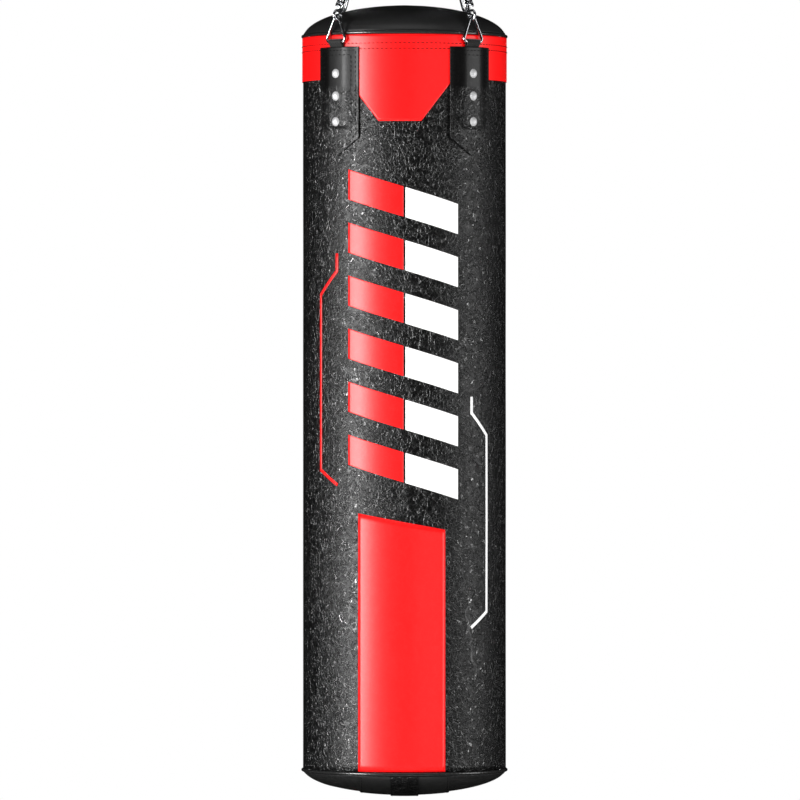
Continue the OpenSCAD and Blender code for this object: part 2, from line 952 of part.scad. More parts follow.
// A flat tab rolled round the slider's bar
module zip_pull() {
    color(steel)
        at_slider()
            translate([slider_bar, 0, 0])
                rotate([0, pull_tilt, 0])
                    difference() {
                        union() {
                            rotate([90, 0, 0])
                                cylinder(r = pull_barrel_r, h = pull_barrel_w, center = true);
                            translate([-pull_t / 2, -pull_barrel_w / 2, -pull_neck])
                                cube([pull_t, pull_barrel_w, pull_neck]);
                            translate([-pull_t / 2, -pull_w / 2, -pull_len])
                                cube([pull_t, pull_w, pull_len - pull_neck + 1]);
                        }
                        rotate([90, 0, 0])
                            cylinder(r = bar_wire_r + pin_gap, h = 2 * pull_barrel_w, center = true);
                        translate([-2, 0, -pull_len + 5])
                            rotate([0, 90, 0])
                                cylinder(r = 2, h = 4);
                    }
}

module one_of_four(name, leg) {
    if (name == "chain") chain(leg);
    if (name == "s_hook") s_hook(leg);
    if (name == "triangle") triangle(leg);
    if (name == "webbing") webbing(leg);
    if (name == "patch") patch(leg);
    if (name == "rivets") rivets(leg);
}

swivel_eye();
swivel_washer();
swivel_nut();
swivel_yoke();
snap_hook();
gate_pin();
snap_gate();
gate_spring();
gate_nose();
gather_ring();
for (name = ["chain", "s_hook", "triangle", "webbing", "patch", "rivets"], leg = [0 : 3])
    one_of_four(name, leg);
rivet_washers();
top_band();
outer_shell();
back_seam_strip();
top_lid();
top_piping();
bottom_cap();
bottom_piping();
bottom_panel();
bottom_strap();
foam_liner();
inner_sack();
filling();
top_pad();
bottom_pad();
zip_tape();
zip_teeth();
zip_stops();
zip_slider();
zip_pull();
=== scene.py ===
"""A hanging heavy punching bag: leather skin over packed textile, on a chain harness with a
snap hook and a swivel."""

from math import pi, radians

import bmesh
import bpy
import numpy as np
from mathutils import Matrix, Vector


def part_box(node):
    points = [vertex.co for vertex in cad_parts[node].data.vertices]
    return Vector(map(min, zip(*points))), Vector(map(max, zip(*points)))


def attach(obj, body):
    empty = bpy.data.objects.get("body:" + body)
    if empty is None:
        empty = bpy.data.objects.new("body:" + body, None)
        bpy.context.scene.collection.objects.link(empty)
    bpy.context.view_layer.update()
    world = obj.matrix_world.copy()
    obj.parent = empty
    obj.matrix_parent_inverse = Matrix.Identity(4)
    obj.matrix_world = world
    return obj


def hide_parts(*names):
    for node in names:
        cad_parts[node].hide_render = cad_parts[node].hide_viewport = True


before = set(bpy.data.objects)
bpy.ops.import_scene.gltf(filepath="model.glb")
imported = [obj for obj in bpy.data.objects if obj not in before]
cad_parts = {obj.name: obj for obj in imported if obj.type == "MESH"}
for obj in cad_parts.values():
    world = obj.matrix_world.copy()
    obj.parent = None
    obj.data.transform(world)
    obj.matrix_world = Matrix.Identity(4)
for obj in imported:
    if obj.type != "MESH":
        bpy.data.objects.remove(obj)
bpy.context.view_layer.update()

MM = 0.001
LEGS = ("front_left", "front_right", "rear_right", "rear_left")


# ---------------------------------------------------------------------------------------------
# Studio. The bag hangs in front of white paper that goes on for ever, over a pale floor.
# One tall soft box stands to the left of the camera and gives the broad upright sheen, and a
# weaker one to the right gives the second. Two wide fills, front and back, light the colours.

shell_low, shell_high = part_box("outer_shell")
lid_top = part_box("top_lid")[1][2]
cap_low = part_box("bottom_cap")[0][2]
RIM_Z = shell_high[2] + 0.2 * MM
BASE_Z = shell_low[2] - 0.2 * MM
SHELL_R = shell_high[0]
LID_H = lid_top - RIM_Z
CAP_H = BASE_Z - cap_low

VIEW_DISTANCE = 11.5
VIEW_WIDTH = 1.2353
VIEW_LEFT = 6.9 * MM
VIEW_UP = 4.8 * MM
SENSOR = 36.0

middle_z = (RIM_Z + BASE_Z) / 2
camera = bpy.data.cameras.new("studio_camera")
camera.sensor_width = SENSOR
camera.lens = SENSOR * VIEW_DISTANCE / VIEW_WIDTH
camera.clip_end = 100
camera_object = bpy.data.objects.new("studio_camera", camera)
camera_object.matrix_world = (
    Matrix.Translation((-VIEW_LEFT, -VIEW_DISTANCE, middle_z + VIEW_UP))
    @ Matrix.Rotation(pi / 2, 4, "X")
)
bpy.context.collection.objects.link(camera_object)
bpy.context.scene.camera = camera_object
bpy.context.scene.view_settings.view_transform = "Standard"


def soft_box(name, azimuth, distance, height, size, power):
    """An area lamp at a place on a circle round the bag, turned to face its axis."""
    lamp = bpy.data.lights.new(name, "AREA")
    lamp.shape = "RECTANGLE"
    lamp.size, lamp.size_y = size
    lamp.energy = power
    lamp_object = bpy.data.objects.new(name, lamp)
    lamp_object.matrix_world = (
        Matrix.Rotation(radians(azimuth), 4, "Z")
        @ Matrix.Translation((0, -distance, height))
        @ Matrix.Rotation(pi / 2, 4, "X")
    )
    bpy.context.collection.objects.link(lamp_object)
    return lamp_object


SHEEN_AWAY = 2.8
FILL_AWAY = 4.5
soft_box("sheen_left", -54, SHEEN_AWAY, middle_z, (0.7, 1.9), 98)
soft_box("sheen_right", 80, SHEEN_AWAY, middle_z, (1.1, 1.9), 27)

# The fills stand far off and shiny surfaces don't show them
for fill_azimuth, power in ((30, 150), (170, 110)):
    fill = soft_box(
        f"fill_{fill_azimuth}", fill_azimuth, FILL_AWAY, middle_z, (2.6, 2.2), power
    )
    fill.visible_glossy = False


def linear(hex_colour):
    """An sRGB colour written as #rrggbb, turned to the linear values that a shader takes."""
    values = np.array([int(hex_colour[i : i + 2], 16) for i in (1, 3, 5)]) / 255
    low = values / 12.92
    high = ((values + 0.055) / 1.055) ** 2.4
    return tuple(np.where(values <= 0.04045, low, high)) + (1.0,)


def node(tree, kind, links=None, **settings):
    """Adds a node. Settings are its properties, or its inputs by name or number; links too."""
    new = tree.nodes.new(kind)
    inputs = settings.pop("inputs", {})
    for key, value in settings.items():
        setattr(new, key, value)
    for key, value in inputs.items():
        new.inputs[key].default_value = value
    for key, source in (links or {}).items():
        tree.links.new(source, new.inputs[key])
    return new


def new_material(name, **shader):
    """A material with one Principled shader, whose constants are set on its own sockets."""
    material = bpy.data.materials.new(name)
    material.use_nodes = True
    tree = material.node_tree
    surface = tree.nodes["Principled BSDF"]
    for key, value in shader.items():
        socket = key.replace("_", " ")
        surface.inputs[socket].default_value = value
    return material, tree, surface


# The room: white paper for the camera, even light for matt surfaces, and for shiny ones a pale
# ceiling and floor in front, with dark flags on all other sides. A ray of no kind gets nothing.
PAPER, AMBIENT, CEILING, FLAGS = 1.0, 0.26, 0.9, 0.003

world = bpy.data.worlds.new("white_paper")
bpy.context.scene.world = world
world.use_nodes = True
tree = world.node_tree
tree.nodes.clear()
rays = node(tree, "ShaderNodeLightPath").outputs
direction = node(tree, "ShaderNodeTexCoord").outputs["Generated"]
way = node(tree, "ShaderNodeSeparateXYZ", {"Vector": direction}).outputs
steep = node(tree, "ShaderNodeMath", {0: way["Z"]}, operation="ABSOLUTE").outputs[0]
over = node(
    tree,
    "ShaderNodeMapRange",
    {"Value": steep},
    interpolation_type="SMOOTHSTEP",
    inputs={"From Min": 0.72, "From Max": 0.95},
).outputs[0]
in_front = node(
    tree,
    "ShaderNodeMapRange",
    {"Value": way["Y"]},
    interpolation_type="SMOOTHSTEP",
    inputs={"From Min": -0.35, "From Max": 0.05, "To Min": CEILING, "To Max": 0.03},
).outputs[0]
room = node(
    tree,
    "ShaderNodeMix",
    {"Factor": over, "B": in_front},
    inputs={"A": FLAGS},
).outputs["Result"]
shown = node(
    tree,
    "ShaderNodeMath",
    {0: rays["Is Camera Ray"], 1: rays["Is Transmission Ray"]},
    operation="MAXIMUM",
).outputs[0]
matt = node(
    tree,
    "ShaderNodeMath",
    {0: rays["Is Diffuse Ray"]},
    operation="MULTIPLY",
    inputs={1: AMBIENT},
).outputs[0]
shiny = node(
    tree, "ShaderNodeMath", {0: rays["Is Glossy Ray"], 1: room}, operation="MULTIPLY"
).outputs[0]
seen = node(
    tree, "ShaderNodeMath", {0: shown}, operation="MULTIPLY", inputs={1: PAPER}
).outputs[0]
lit = node(tree, "ShaderNodeMath", {0: matt, 1: shiny}, operation="MAXIMUM").outputs[0]
strength = node(tree, "ShaderNodeMath", {0: lit, 1: seen}, operation="MAXIMUM").outputs[0]
paper = node(
    tree, "ShaderNodeBackground", {"Strength": strength}, inputs={"Color": (1, 1, 1, 1)}
)
node(tree, "ShaderNodeOutputWorld", {"Surface": paper.outputs[0]})


def grid_mesh(name, points, close_columns=False, material=None, weld=True):
    """A mesh from a grid of points, rows by columns, with a face between each four neighbours.
    With close_columns the last column joins the first. The face turns so that its outside is
    where rows cross columns by the right hand. Weld joins the points that fall together."""
    rows, columns = points.shape[:2]
    index = np.arange(rows * columns).reshape(rows, columns)
    if close_columns:
        index = np.hstack([index, index[:, :1]])
    faces = np.stack([index[:-1, :-1], index[:-1, 1:], index[1:, 1:], index[1:, :-1]], axis=-1)
    mesh = bpy.data.meshes.new(name)
    mesh.from_pydata(points.reshape(-1, 3).tolist(), [], faces.reshape(-1, 4).tolist())
    if weld:
        joined = bmesh.new()
        joined.from_mesh(mesh)
        bmesh.ops.remove_doubles(joined, verts=joined.verts, dist=0.001 * MM)
        joined.to_mesh(mesh)
        joined.free()
    mesh.polygons.foreach_set("use_smooth", np.ones(len(mesh.polygons), bool))
    mesh.update()
    new = bpy.data.objects.new(name, mesh)
    bpy.context.collection.objects.link(new)
    if material:
        mesh.materials.append(material)
    return new


FLOOR_DROP = 0.33
FLOOR_R = 3.2
floor_material, tree, surface = new_material("matt_white_floor_paint", Roughness=0.9)
surface.inputs["Base Color"].default_value = linear("#e8e8e6")
turn = np.linspace(0, 2 * pi, 65)[:-1]
reach = np.array([0.0001, 0.5, 1.0]) * FLOOR_R
floor_points = np.stack(
    np.broadcast_arrays(
        reach[:, None] * np.cos(turn)[None],
        reach[:, None] * np.sin(turn)[None],
        cap_low - FLOOR_DROP,
    ),
    axis=-1,
)
studio_floor = grid_mesh("studio_floor", floor_points, True, floor_material)
studio_floor.visible_glossy = False


# ---------------------------------------------------------------------------------------------
# Skin of the bag: lid, shell and cap, sewn together over foam and packed textile.
# The three panels are cut from coated leather and pulled tight by the filling, so each swells a
# little between its seams. Cloth simulation with air pressure gives that swell, and low lumps
# of the filling show through it.

SKIN_IN = 0.55 * MM       # how far the unstuffed skin lies inside its full size
SWELL_CAP = 0.5 * MM      # the most that the filling may push it back out
LUMP = 0.22 * MM
SEAM_H = 5.4 * MM         # the welt's height between shell and lid
HEM, HEM_AT, HEM_WIDE = 0.7 * MM, 7.0 * MM, 1.1 * MM   # the turned-in edge of lid and cap
AROUND = 180
SHELL_ROWS = 150
DOME_ROWS = 26


def dome_line(rise, count):
    """Half an ellipse: radius and height from just past the welt to the pole."""
    start = np.arcsin(SEAM_H / rise)
    angle = start + (pi / 2 - start) * np.linspace(0, 1, count) ** 1.5
    return (SHELL_R - SKIN_IN) * np.cos(angle), (rise - SKIN_IN) * np.sin(angle)


lid_r, lid_z = dome_line(LID_H, DOME_ROWS)
cap_r, cap_z = dome_line(CAP_H, DOME_ROWS)
lid_r[-1] = cap_r[-1] = 0.05 * MM
shell_z = np.linspace(RIM_Z, BASE_Z, SHELL_ROWS)
for ring_r, ring_z in ((lid_r, lid_z), (cap_r, cap_z)):
    ring_r += HEM * np.exp(-(((ring_z - HEM_AT) / HEM_WIDE) ** 2))
skin_r = np.concatenate([lid_r[::-1], np.full(SHELL_ROWS, SHELL_R - SKIN_IN), cap_r])
skin_z = np.concatenate([RIM_Z + lid_z[::-1], shell_z, BASE_Z - cap_z])
around = np.linspace(-pi, pi, AROUND + 1)[:-1]


def wrap(angle, r, z):
    """Points round the bag's axis: angle 0 is the front, and it grows towards the right."""
    return np.stack(np.broadcast_arrays(r * np.sin(angle), -r * np.cos(angle), z), axis=-1)


skin_points = wrap(around[None, :], skin_r[:, None], skin_z[:, None])


domes = np.ones(len(skin_r), bool)
domes[DOME_ROWS : DOME_ROWS + SHELL_ROWS] = False


def simulate_skin():
    """Runs Cloth with pressure on the closed skin, held at its two rims, and returns how far
    each point moved out."""
    skin = grid_mesh("skin_before_stuffing", skin_points, True, weld=False)
    held = skin.vertex_groups.new(name="rims")
    rim_rows = [DOME_ROWS - 1, DOME_ROWS, DOME_ROWS + SHELL_ROWS - 1, DOME_ROWS + SHELL_ROWS]
    rim_points = (np.array(rim_rows)[:, None] * AROUND + np.arange(AROUND)).ravel()
    held.add(rim_points.tolist(), 1.0, "REPLACE")
    cloth = skin.modifiers.new("stuffing", "CLOTH")
    settings = cloth.settings
    settings.quality = 4
    settings.mass = 0.6
    settings.tension_stiffness = 60
    settings.compression_stiffness = 60
    settings.bending_stiffness = 8
    settings.use_pressure = True
    settings.uniform_pressure_force = 4
    settings.vertex_group_mass = "rims"
    settings.effector_weights.gravity = 0
    cloth.point_cache.frame_start, cloth.point_cache.frame_end = 1, 20
    for step in range(1, 21):
        bpy.context.scene.frame_set(step)
    swollen = skin.evaluated_get(bpy.context.evaluated_depsgraph_get()).to_mesh()
    moved = np.empty(len(swollen.vertices) * 3, np.float32)
    swollen.vertices.foreach_get("co", moved)
    bpy.context.scene.frame_set(1)
    bpy.data.objects.remove(skin)
    away = moved.reshape(skin_points.shape) - skin_points
    outward = skin_points / np.linalg.norm(skin_points[..., :2], axis=-1)[..., None]
    outward[..., 2] = np.sign(skin_points[..., 2] - middle_z)
    outward[domes, :, :2] = 0
    outward[~domes, :, 2] = 0
    return np.clip((away * outward).sum(axis=-1), 0, SWELL_CAP)


swell = simulate_skin()

# The lumps of the filling: a few smooth waves of unlike length, added round and along the bag
rng = np.random.default_rng(7)
lumps = np.zeros(skin_points.shape[:2])
for count_round in (2, 3, 5, 7, 9):
    wave = rng.uniform(0.25, 0.6)
    shift, turn_shift = rng.uniform(0, 2 * pi, 2)
    along = np.sin(2 * pi * skin_z / wave + shift)[:, None]
    lumps += along * np.sin(count_round * around + turn_shift)[None, :]
swell = swell + LUMP * (0.5 + 0.2 * lumps)

full_r = skin_r[:, None] + np.where(domes[:, None], 0, swell)
side = np.where(skin_z > middle_z, 1, -1)[:, None]
full_z = skin_z[:, None] + np.where(domes[:, None], side * swell, 0)
for pole in (0, -1):
    full_r[pole], full_z[pole] = 0, full_z[pole].mean()
skin_points = wrap(around[None, :], full_r, full_z)
shell_rows = slice(DOME_ROWS, DOME_ROWS + SHELL_ROWS)
shell_radii = full_r[shell_rows]


def shell_radius(angle, z):
    """The stuffed shell's radius at any angle and height, read between the grid's points."""
    row = np.clip((RIM_Z - z) / (RIM_Z - BASE_Z), 0, 1) * (SHELL_ROWS - 1)
    column = (angle + pi) / (2 * pi) * AROUND
    r0 = np.clip(np.floor(row).astype(int), 0, SHELL_ROWS - 2)
    c0 = np.floor(column).astype(int)
    fr, fc = row - r0, column - c0
    a, b = c0 % AROUND, (c0 + 1) % AROUND
    top = shell_radii[r0, a] * (1 - fc) + shell_radii[r0, b] * fc
    low = shell_radii[r0 + 1, a] * (1 - fc) + shell_radii[r0 + 1, b] * fc
    return top * (1 - fr) + low * fr


def net(tree, place, cell, warp, width):
    """A net of thin lines between unlike cells about cell mm across, from 0 to 1 on the lines.
    Warp, in mm, is how far noise bends them, and width is a line's share of a cell."""
    bend = node(
        tree,
        "ShaderNodeTexNoise",
        {"Vector": place},
        inputs={"Scale": 1 / (cell * 1.5 * MM), "Detail": 2.0},
    )
    bent = node(
        tree,
        "ShaderNodeVectorMath",
        {0: bend.outputs["Color"], 2: place},
        operation="MULTIPLY_ADD",
        inputs={1: (warp * MM,) * 3},
    )
    cells = node(
        tree,
        "ShaderNodeTexVoronoi",
        {"Vector": bent.outputs[0]},
        feature="DISTANCE_TO_EDGE",
        inputs={"Scale": 1 / (cell * MM), "Randomness": 1.0},
    )
    return node(
        tree,
        "ShaderNodeMapRange",
        {"Value": cells.outputs["Distance"]},
        interpolation_type="SMOOTHSTEP",
        inputs={"From Min": 0.0, "From Max": width, "To Min": 1.0, "To Max": 0.0},
    ).outputs[0]


def leather(name, colour, painted_ridge_sheen, depth, rough, shine, grain_top=None):
    """Coated split leather. Its embossed print is a net of fine ridges, a finer net inside
    it, and a few long creases; all of them are smoother and glossier than the ground, by more
    where the print is deeper, and their colour is lighter, a painted highlight for the light
    they catch. Depth is in mm. Above the height grain_top the print is pressed flat."""
    material, tree, surface = new_material(name)
    place = node(tree, "ShaderNodeTexCoord").outputs["Object"]
    wide = node(
        tree, "ShaderNodeTexNoise", {"Vector": place}, inputs={"Scale": 1 / (9 * MM), "Detail": 2.0}
    ).outputs["Fac"]
    main = net(tree, place, 6.4, 5.0, 0.1)
    fine = net(tree, place, 3.4, 3.0, 0.14)
    long = net(tree, place, 34.0, 30.0, 0.022)
    weights = ((main, 0.36, 0.52, 1.0), (fine, 0.4, 0.6, 0.6), (long, 0.5, 0.62, 1.0))
    ridges = None
    for lines, low, high, share in weights:
        patchy = node(
            tree,
            "ShaderNodeMapRange",
            {"Value": wide},
            inputs={"From Min": low, "From Max": high, "To Min": 0.3 * share, "To Max": share},
        ).outputs[0]
        part = node(tree, "ShaderNodeMath", {0: lines, 1: patchy}, operation="MULTIPLY").outputs[0]
        ridges = part if ridges is None else node(
            tree, "ShaderNodeMath", {0: ridges, 1: part}, operation="MAXIMUM"
        ).outputs[0]
    if grain_top is not None:
        height = node(tree, "ShaderNodeSeparateXYZ", {"Vector": place}).outputs["Z"]
        pressed = node(
            tree,
            "ShaderNodeMapRange",
            {"Value": height},
            inputs={
                "From Min": grain_top - 8 * MM,
                "From Max": grain_top,
                "To Min": 1.0,
                "To Max": 0.08,
            },
        ).outputs[0]
        ridges = node(
            tree, "ShaderNodeMath", {0: ridges, 1: pressed}, operation="MULTIPLY"
        ).outputs[0]
    pores = node(
        tree,
        "ShaderNodeTexNoise",
        {"Vector": place},
        inputs={"Scale": 1 / (1.1 * MM), "Detail": 3.0, "Roughness": 0.6},
    ).outputs["Fac"]
    # The ridges get a lighter colour than the ground: painted highlight for the light they catch.
    tone = node(
        tree,
        "ShaderNodeMix",
        {"Factor": ridges},
        data_type="RGBA",
        inputs={"A": linear(colour), "B": linear(painted_ridge_sheen)},
    ).outputs["Result"]
    roughness = node(
        tree,
        "ShaderNodeMapRange",
        {"Value": ridges},
        inputs={"To Min": rough + 0.1 * depth, "To Max": rough - 0.3 * depth},
    ).outputs[0]
    gloss = node(
        tree,
        "ShaderNodeMapRange",
        {"Value": ridges},
        inputs={"To Min": shine * (1 - 1.3 * depth), "To Max": shine * (1 + 2 * depth)},
    ).outputs[0]
    coarse = node(
        tree,
        "ShaderNodeBump",
        {"Height": ridges},
        inputs={"Strength": 1.0, "Distance": depth * MM},
    ).outputs[0]
    bump = node(
        tree,
        "ShaderNodeBump",
        {"Height": pores, "Normal": coarse},
        inputs={"Strength": 1.0, "Distance": (0.02 + 0.1 * depth) * MM},
    ).outputs[0]
    tree.links.new(tone, surface.inputs["Base Color"])
    tree.links.new(roughness, surface.inputs["Roughness"])
    tree.links.new(gloss, surface.inputs["Specular IOR Level"])
    tree.links.new(bump, surface.inputs["Normal"])
    return material


# In every leather below, the second colour lies on the ridges and is lighter: painted highlight.
grained_black = leather("grained_black_coated_leather", "#030303", "#1a1a1a", 0.5, 0.34, 0.95)
# Its ground is a lighter black than the shell's: painted sheen, chiefly for the lid.
smooth_black = leather("smooth_black_leather_painted_sheen", "#1e1e1e", "#242424", 0.02, 0.38, 0.6)
# Its ground is a lighter black than the shell's: painted light, for the little light that reaches
# the cap from below.
cap_black_painted_sheen = leather("lightly_grained_black_leather_painted_sheen", "#1c1c1c", "#2a2a2a", 0.1, 0.38, 0.7)
# Its colours are a lighter black than the shell's: painted highlight on the welt.
welt_black_painted_highlight = leather("glossy_black_welt_leather_painted_highlight", "#1b1b1b", "#262626", 0.02, 0.27, 1.0)
patch_black = leather(
    "pressed_black_coated_leather", "#040404", "#181818", 0.4, 0.35, 0.8, RIM_Z - 78 * MM
)


def dress(piece, slot, *nodes, body="bag"):
    """Puts a finished piece on its body and hides the CAD nodes it stands for. The slot is not
    used.
    """
    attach(piece, body)
    if nodes:
        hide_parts(*nodes)


def leather_wall(piece, thickness):
    """Gives a skin its real thickness on the inside."""
    wall = piece.modifiers.new("leather_thickness", "SOLIDIFY")
    wall.thickness = thickness
    wall.offset = -1


LEATHER_T = 2 * MM
shell_points = skin_points[shell_rows].copy()
shell_points[0, :, 2] -= 0.2 * MM
shell_points[-1, :, 2] += 0.2 * MM
shell = grid_mesh("leather_shell", shell_points[::-1], True, grained_black)
leather_wall(shell, LEATHER_T)
dress(shell, "grained_black_leather", "outer_shell")

lid_points = skin_points[:DOME_ROWS]
lid = grid_mesh("leather_lid", lid_points[::-1], True, smooth_black)
leather_wall(lid, LEATHER_T)
dress(lid, "smooth_black_leather", "top_lid")

cap_points = skin_points[DOME_ROWS + SHELL_ROWS :]
cap = grid_mesh("leather_cap", cap_points[::-1], True, cap_black_painted_sheen)
leather_wall(cap, LEATHER_T)
dress(cap, "grained_black_leather", "bottom_cap")


# ---------------------------------------------------------------------------------------------
# Welts. A cord is rolled in a strip of smooth leather and sewn between the panels at each rim.
# The strip puckers a little at every stitch.

WELT_R = 2.5 * MM
STITCH_PITCH = 6.9 * MM


def round_cord(name, centre_r, centre_z, cord_r, pucker, material):
    """A cord round the bag. Its thickness dips by pucker once for each stitch."""
    stitches = round(2 * pi * centre_r / STITCH_PITCH)
    angle = np.linspace(-pi, pi, stitches * 4 + 1)[:-1]
    turn = np.linspace(0, 2 * pi, 17)[:-1]
    thick = cord_r - pucker * (0.5 + 0.5 * np.cos(stitches * angle)) ** 2
    r = centre_r + thick[None, :] * np.cos(turn)[:, None]
    z = centre_z + cord_r * np.sin(turn)[:, None] + 0 * r
    points = wrap(angle[None, :], r, z)
    return grid_mesh(name, np.concatenate([points, points[:1]]), True, material)


for name, node_name in (("top_welt", "top_piping"), ("bottom_welt", "bottom_piping")):
    low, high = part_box(node_name)
    welt = round_cord(
        name, high[0] - WELT_R, (low[2] + high[2]) / 2, WELT_R, 0.18 * MM, welt_black_painted_highlight
    )
    dress(welt, "smooth_black_leather", node_name)


# ---------------------------------------------------------------------------------------------
# Stitches. Black bonded thread, about 1 mm thick, in straight runs of 4 mm stitches. Each
# stitch is a short rounded rod that sinks into the leather at both ends.

STITCH_LEN = 4.5 * MM
THREAD_R = 0.6 * MM

thread_black, tree, surface = new_material(
    "black_bonded_thread", Roughness=0.7, Specular_IOR_Level=0.2
)
place = node(tree, "ShaderNodeTexCoord").outputs["Object"]
twist = node(
    tree, "ShaderNodeTexNoise", {"Vector": place}, inputs={"Scale": 1 / (0.5 * MM), "Detail": 1.0}
)
tone = node(
    tree,
    "ShaderNodeMix",
    {"Factor": twist.outputs["Fac"]},
    data_type="RGBA",
    inputs={"A": linear("#050505"), "B": linear("#121212")},
)
tree.links.new(tone.outputs["Result"], surface.inputs["Base Color"])


def stitches_along(line, outward, pitch=STITCH_PITCH, length=STITCH_LEN):
    """Points of all the stitches on a line. The line and its outward directions are arrays of
    points. Each stitch is five rings of six points, bowed out in the middle."""
    steps = np.linalg.norm(np.diff(line, axis=0), axis=1)
    along = np.concatenate([[0], np.cumsum(steps)])
    count = max(1, int(along[-1] / pitch))
    starts = (np.arange(count) + 0.5) * along[-1] / count - length / 2
    share = np.array([0.0, 0.12, 0.5, 0.88, 1.0])
    places = starts[:, None] + share[None, :] * length
    centre = np.stack([np.interp(places, along, line[:, k]) for k in range(3)], axis=-1)
    out = np.stack([np.interp(places, along, outward[:, k]) for k in range(3)], axis=-1)
    out /= np.linalg.norm(out, axis=-1, keepdims=True)
    ahead = centre[:, -1:] - centre[:, :1]
    ahead = ahead / np.linalg.norm(ahead, axis=-1, keepdims=True)
    across = np.cross(ahead, out)
    thick = THREAD_R * np.array([0.35, 0.9, 1.0, 0.9, 0.35])[None, :, None, None]
    bow = THREAD_R * np.array([-0.9, 0.1, 0.35, 0.1, -0.9])[None, :, None]
    turn = np.linspace(0, 2 * pi, 7)[:-1]
    ring = (
        across[:, :, None] * np.cos(turn)[None, None, :, None]
        + out[:, :, None] * np.sin(turn)[None, None, :, None]
    )
    return (centre + out * bow)[:, :, None] + thick * ring


def sew(name, runs, material=thread_black):
    """One mesh from many runs of stitches."""
    points = np.concatenate([stitches_along(*run) for run in runs])
    count, rings, sides = points.shape[:3]
    index = np.arange(rings * sides).reshape(rings, sides)
    index = np.hstack([index, index[:, :1]])
    faces = np.stack([index[:-1, :-1], index[1:, :-1], index[1:, 1:], index[:-1, 1:]], axis=-1)
    faces = faces.reshape(-1, 4)
    ends = np.array([index[0, :-1], index[-1, :-1][::-1]])
    shift = (np.arange(count) * rings * sides)[:, None, None]
    mesh = bpy.data.meshes.new(name)
    all_faces = (faces[None] + shift).reshape(-1, 4).tolist()
    all_faces += (ends[None] + shift).reshape(-1, sides).tolist()
    mesh.from_pydata(points.reshape(-1, 3).tolist(), [], all_faces)
    mesh.polygons.foreach_set("use_smooth", np.ones(len(mesh.polygons), bool))
    mesh.materials.append(material)
    new = bpy.data.objects.new(name, mesh)
    bpy.context.collection.objects.link(new)
    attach(new, "bag")
    return new


def upright_out(line):
    """Directions straight out from the bag's axis at each point of a line."""
    out = line * np.array([1, 1, 0])
    return out / np.linalg.norm(out, axis=-1, keepdims=True)


# ---------------------------------------------------------------------------------------------
# Top band. A strip of smooth red coated leather sewn over the top of the shell, with a tongue
# that reaches down at the front. Two rows of stitches hold it under the welt.

BAND_H = 68 * MM
TONGUE_H = 133 * MM
TONGUE_TOP = 163 * MM
TONGUE_LOW = 65 * MM
TONGUE_SHIFT = -7 * MM
BAND_T = 1.2 * MM
BAND_GAP = 0.15 * MM
STITCH_ROWS = (14 * MM, 22.5 * MM)

# The second colour, on the ridges, is painted highlight.
smooth_red = leather("smooth_red_coated_leather", "#f60204", "#f80608", 0.02, 0.38, 0.6)


RIM_ANGLE = radians(50)


def roll_edge(piece, width):
    """Rounds over the cut rim of a sheet of leather."""
    roll = piece.modifiers.new("rolled_edge", "BEVEL")
    roll.width = width
    roll.segments = 2
    roll.limit_method = "ANGLE"
    roll.angle_limit = RIM_ANGLE


def layered(name, angle, z, thickness, lift, material, edge=0.5 * MM):
    """A sheet of leather laid on the shell. Angle and z are grids; lift raises its underside
    above the shell. The sheet's rim is rounded over."""
    base = shell_radius(angle, z) + lift
    piece = grid_mesh(name, wrap(angle, base + thickness, z), False, material)
    leather_wall(piece, thickness)
    if edge:
        roll_edge(piece, edge)
    return piece


tongue_edges = np.arcsin((np.array([-TONGUE_TOP, -TONGUE_LOW, TONGUE_LOW, TONGUE_TOP]) / 2
                          + TONGUE_SHIFT) / SHELL_R)
band_angle = np.unique(np.concatenate([
    np.linspace(-pi, tongue_edges[0], 70),
    np.linspace(tongue_edges[0], tongue_edges[1], 14),
    np.linspace(tongue_edges[1], tongue_edges[2], 18),
    np.linspace(tongue_edges[2], tongue_edges[3], 14),
    np.linspace(tongue_edges[3], pi, 70),
]))
band_foot = RIM_Z - np.interp(
    SHELL_R * np.sin(np.clip(band_angle, -pi / 2, pi / 2)),
    SHELL_R * np.sin(tongue_edges),
    [BAND_H, TONGUE_H, TONGUE_H, BAND_H],
)
band_top = RIM_Z - 0.2 * MM
band_z = band_top + np.linspace(1, 0, 30)[:, None] * (band_foot - band_top)[None, :]
band = layered(
    "red_top_band", band_angle[None, :] + 0 * band_z, band_z, BAND_T, BAND_GAP, smooth_red, 0
)
dress(band, "smooth_red_leather", "top_band")

ring_angle = np.linspace(-pi, pi, 721)
band_rows = []
for drop in STITCH_ROWS:
    row_z = np.full_like(ring_angle, RIM_Z - drop)
    line = wrap(ring_angle, shell_radius(ring_angle, row_z) + BAND_GAP + BAND_T, row_z)
    band_rows.append((line, upright_out(line)))
sew("band_stitches", band_rows)


# ---------------------------------------------------------------------------------------------
# Strap patches. Pointed patches of smooth black leather, two rows of stitches inside their
# edges, sewn and riveted over the hanging webbing, so each stands up along its middle.

PATCH_W = 77 * MM
PATCH_TOP = 19 * MM
PATCH_SIDE = 158 * MM
PATCH_TIP = 185 * MM
PATCH_T = 1.8 * MM
STITCH_INSETS = (5.4 * MM, 12.4 * MM)
BULGE_HALF = 11 * MM
BULGE_FADE = 25 * MM
STRAP_ANGLE = radians(40)
strap_angles = {
    leg: np.arctan2(x * np.sin(STRAP_ANGLE), -y * np.cos(STRAP_ANGLE))
    for leg, (x, y) in zip(LEGS, ((-1, -1), (1, -1), (1, 1), (-1, 1)))
}
patch_outer = 163.85 * MM
bulge_low = RIM_Z - 147 * MM


def smooth_step(x):
    """0 below 0, 1 above 1, and an even S between."""
    x = np.clip(x, 0, 1)
    return x * x * (3 - 2 * x)


